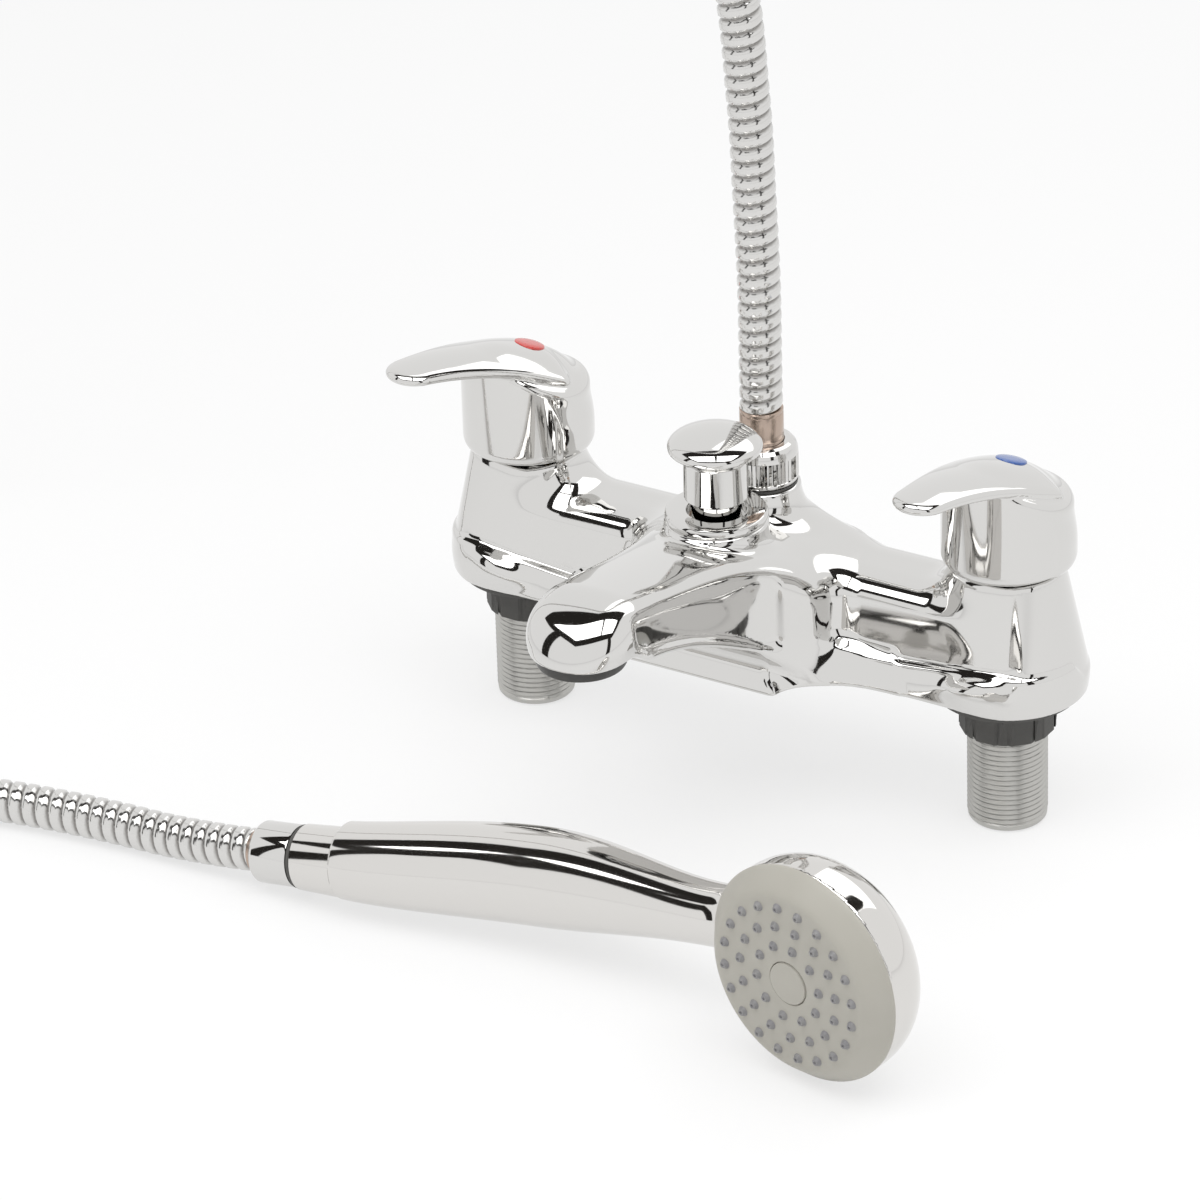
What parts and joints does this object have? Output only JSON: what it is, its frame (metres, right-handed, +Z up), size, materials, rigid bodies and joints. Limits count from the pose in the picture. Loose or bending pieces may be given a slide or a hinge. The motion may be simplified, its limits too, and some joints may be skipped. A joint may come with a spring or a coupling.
{
  "type": "bath shower mixer",
  "caption": "Deck-mounted chrome bath shower mixer with lever handles, arched spout, lift diverter, ribbed metal hose and round handset.",
  "frame": {"origin": "on the deck plane under the base seals, midway between the two inlet tails", "axes": "+Z up along the tails, -Y the way the spout points, +X towards the cold tail"},
  "size_m": [0.5201, 0.2138, 0.4161],
  "materials": {
    "chrome_on_brass": "polished chrome plate",
    "chrome_on_plastic": "polished chrome plate",
    "chromed_hose": "polished",
    "satin_thread": "satin nickel plate",
    "nickel": "nickel plate",
    "ceramic": "lapped",
    "brass": "machined",
    "steel": "plain",
    "red_plastic": "gloss",
    "blue_plastic": "gloss",
    "beige_plastic": "satin",
    "grey_rubber": "matt",
    "black_rubber": "matt",
    "black_plastic": "satin",
    "white_plastic": "satin"
  },
  "bodies": {
    "mixer": {"mixer_body": "chrome_on_brass", "hot_tail": "satin_thread", "cold_tail": "satin_thread", "hot_base_seal": "black_rubber", "cold_base_seal": "black_rubber", "hot_valve_body": "brass", "cold_valve_body": "brass", "hot_seat_seal": "black_rubber", "cold_seat_seal": "black_rubber", "hot_fixed_disc": "ceramic", "cold_fixed_disc": "ceramic", "diverter_collar": "chrome_on_brass", "spout_outlet": "black_plastic", "outlet_straightener": "white_plastic", "hose_nipple": "brass", "nipple_seal": "black_rubber", "check_valve": "white_plastic", "hose_washer": "black_rubber", "hose_ferrule": "nickel", "hose": "chromed_hose", "handset_ferrule": "nickel", "handset_ring": "black_rubber", "handset_collar": "chrome_on_plastic", "handset_handle": "chrome_on_plastic", "handset_head": "chrome_on_plastic", "spray_plate": "beige_plastic", "nozzle_mat": "grey_rubber", "plate_cap": "beige_plastic", "plate_screw": "steel"},
    "hot_lever": {"hot_lever": "chrome_on_brass", "hot_lever_screw": "steel", "hot_index": "red_plastic", "hot_spindle": "brass", "hot_spindle_ring": "black_rubber", "hot_moving_disc": "ceramic"},
    "cold_lever": {"cold_lever": "chrome_on_brass", "cold_lever_screw": "steel", "cold_index": "blue_plastic", "cold_spindle": "brass", "cold_spindle_ring": "black_rubber", "cold_moving_disc": "ceramic"},
    "diverter": {"diverter_knob": "chrome_on_brass", "diverter_stem": "brass", "diverter_ring": "black_rubber", "diverter_washer": "black_rubber"},
    "hose_nut": {"hose_nut": "chrome_on_brass"},
    "handset_nut": {"handset_nut": "chrome_on_brass"}
  },
  "joints": [
    {"name": "hot_lever_turn", "type": "hinge", "parent": "mixer", "child": "hot_lever", "pos_m": [-0.09, 0, 0.06], "axis": [0, 0, 1], "range_deg": [-59, 31]},
    {"name": "cold_lever_turn", "type": "hinge", "parent": "mixer", "child": "cold_lever", "pos_m": [0.09, 0, 0.06], "axis": [0, 0, 1], "range_deg": [0, 90]},
    {"name": "diverter_lift", "type": "slide", "parent": "mixer", "child": "diverter", "axis": [0, 0, 1], "range_m": [0, 0.01]},
    {"name": "hose_nut_turn", "type": "hinge", "parent": "mixer", "child": "hose_nut", "pos_m": [0, 0, 0.062], "axis": [0, 0, 1], "continuous": true},
    {"name": "handset_nut_turn", "type": "hinge", "parent": "mixer", "child": "handset_nut", "pos_m": [-0.0853, -0.1508, -0.0335], "axis": [0.9922, 0.0329, 0.1201], "continuous": true}
  ]
}
